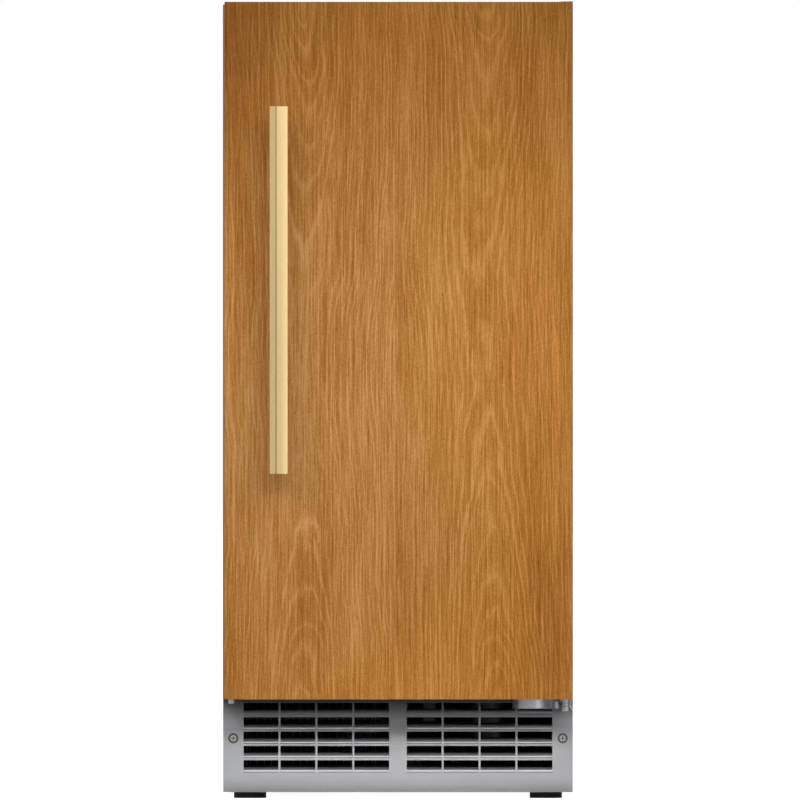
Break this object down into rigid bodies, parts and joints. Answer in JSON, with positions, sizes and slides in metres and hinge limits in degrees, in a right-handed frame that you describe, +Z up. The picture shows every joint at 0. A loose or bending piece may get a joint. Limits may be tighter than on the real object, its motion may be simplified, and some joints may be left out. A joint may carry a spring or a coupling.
{
  "type": "under-counter ice maker",
  "caption": "Built-in under-counter ice maker with a wood overlay door panel, brass bar pull, louvred steel toe grille, insulated bin, sloped freezing plate and cutter grid",
  "frame": {"origin": "on the floor under the middle of the unit's bounding box", "axes": "+X to the right seen from the front, the front faces -Y, +Z up"},
  "size_m": [0.378, 0.648, 0.861],
  "materials": {
    "painted_steel": "fine textured powder coat",
    "galvanised_steel": "plain zinc coated sheet",
    "liner_plastic": "smooth vacuum formed",
    "foam": "rigid foam with a fine skin",
    "stainless_steel": "brushed along its length",
    "screw_steel": "satin",
    "white_plastic": "moulded satin",
    "copper": "drawn copper, dull",
    "wire_steel": "drawn wire",
    "clear_hose": "milky clear vinyl",
    "grey_hose": "smooth vinyl",
    "grey_plastic": "moulded",
    "black_enamel": "gloss enamel",
    "black_rubber": "matt moulded",
    "fin_aluminium": "thin sheet under a black coat",
    "black_plastic": "moulded",
    "motor_steel": "smooth paint",
    "valve_brass": "machined",
    "valve_plastic": "moulded",
    "door_steel": "smooth coated steel",
    "gasket_rubber": "extruded, satin",
    "oak": "clear satin lacquer over plain sliced oak",
    "satin_brass": "satin brushed along its length",
    "button_plastic": "smooth moulded",
    "scoop_aluminium": "cast and tumbled"
  },
  "bodies": {
    "cabinet": {"base_pan": "galvanised_steel", "left_side_panel": "painted_steel", "right_side_panel": "painted_steel", "top_panel": "painted_steel", "bulkhead": "galvanised_steel", "rear_panel": "painted_steel", "service_panel": "painted_steel", "inner_liner": "liner_plastic", "foam_insulation": "foam", "toe_grille": "stainless_steel", "grille_screws": "screw_steel", "lower_hinge_bracket": "stainless_steel", "lower_hinge_pin": "screw_steel", "upper_hinge_bracket": "stainless_steel", "hinge_screws": "screw_steel", "control_housing": "white_plastic", "evaporator_plate": "stainless_steel", "evaporator_coil": "copper", "evaporator_rails": "white_plastic", "water_distributor": "white_plastic", "water_pan": "white_plastic", "cutter_frame": "white_plastic", "cutter_wires": "wire_steel", "pump_motor": "white_plastic", "pump_hose": "clear_hose", "bin_drain": "white_plastic", "drain_hose": "grey_hose", "drain_outlet": "white_plastic", "bin_thermistor": "grey_plastic", "compressor": "black_enamel", "compressor_mounts": "black_rubber", "condenser_fins": "fin_aluminium", "condenser_tubes": "black_enamel", "fan_shroud": "black_plastic", "fan_motor": "motor_steel", "filter_drier": "copper", "refrigerant_lines": "copper", "hot_gas_valve": "valve_brass", "water_inlet_valve": "valve_plastic", "fill_tube": "clear_hose", "control_box": "galvanised_steel", "power_gland": "black_plastic"},
    "door": {"door_shell": "door_steel", "door_liner": "liner_plastic", "door_gasket": "gasket_rubber", "overlay_panel": "oak", "handle_bar": "satin_brass", "handle_posts": "satin_brass", "door_bushings": "white_plastic", "hinge_hole_plug": "screw_steel"},
    "fan": {"fan_blade": "black_plastic"},
    "impeller": {"pump_impeller": "grey_plastic"},
    "power_key": {"power_button": "button_plastic"},
    "clean_key": {"clean_button": "button_plastic"},
    "light_key": {"light_button": "button_plastic"},
    "foot_fl": {"foot_front_left": "black_rubber"},
    "foot_fr": {"foot_front_right": "black_rubber"},
    "foot_rl": {"foot_rear_left": "black_rubber"},
    "foot_rr": {"foot_rear_right": "black_rubber"},
    "scoop": {"ice_scoop": "scoop_aluminium"}
  },
  "joints": [
    {"name": "door_hinge", "type": "hinge", "parent": "cabinet", "child": "door", "pos_m": [0.182, -0.245, 0.48], "axis": [0, 0, 1], "range_deg": [0, 115]},
    {"name": "fan_spin", "type": "hinge", "parent": "cabinet", "child": "fan", "pos_m": [-0.0949, 0.135, 0.0967], "axis": [0, 1, 0], "continuous": true},
    {"name": "impeller_spin", "type": "hinge", "parent": "cabinet", "child": "impeller", "pos_m": [0.105, 0.252, 0.62], "axis": [0, 0, 1], "continuous": true},
    {"name": "power_press", "type": "slide", "parent": "cabinet", "child": "power_key", "axis": [0, 1, 0], "range_m": [0, 0.002], "stiffness_N_per_m": 300},
    {"name": "clean_press", "type": "slide", "parent": "cabinet", "child": "clean_key", "axis": [0, 1, 0], "range_m": [0, 0.002], "stiffness_N_per_m": 300},
    {"name": "light_press", "type": "slide", "parent": "cabinet", "child": "light_key", "axis": [0, 1, 0], "range_m": [0, 0.002], "stiffness_N_per_m": 300},
    {"name": "foot_fl_level", "type": "slide", "parent": "cabinet", "child": "foot_fl", "axis": [0, 0, -1], "range_m": [0, 0.012]},
    {"name": "foot_fr_level", "type": "slide", "parent": "cabinet", "child": "foot_fr", "axis": [0, 0, -1], "range_m": [0, 0.012]},
    {"name": "foot_rl_level", "type": "slide", "parent": "cabinet", "child": "foot_rl", "axis": [0, 0, -1], "range_m": [0, 0.012]},
    {"name": "foot_rr_level", "type": "slide", "parent": "cabinet", "child": "foot_rr", "axis": [0, 0, -1], "range_m": [0, 0.012]},
    {"name": "scoop_off_peg", "type": "slide", "parent": "cabinet", "child": "scoop", "axis": [1, 0, 0], "range_m": [0, 0.06]}
  ]
}
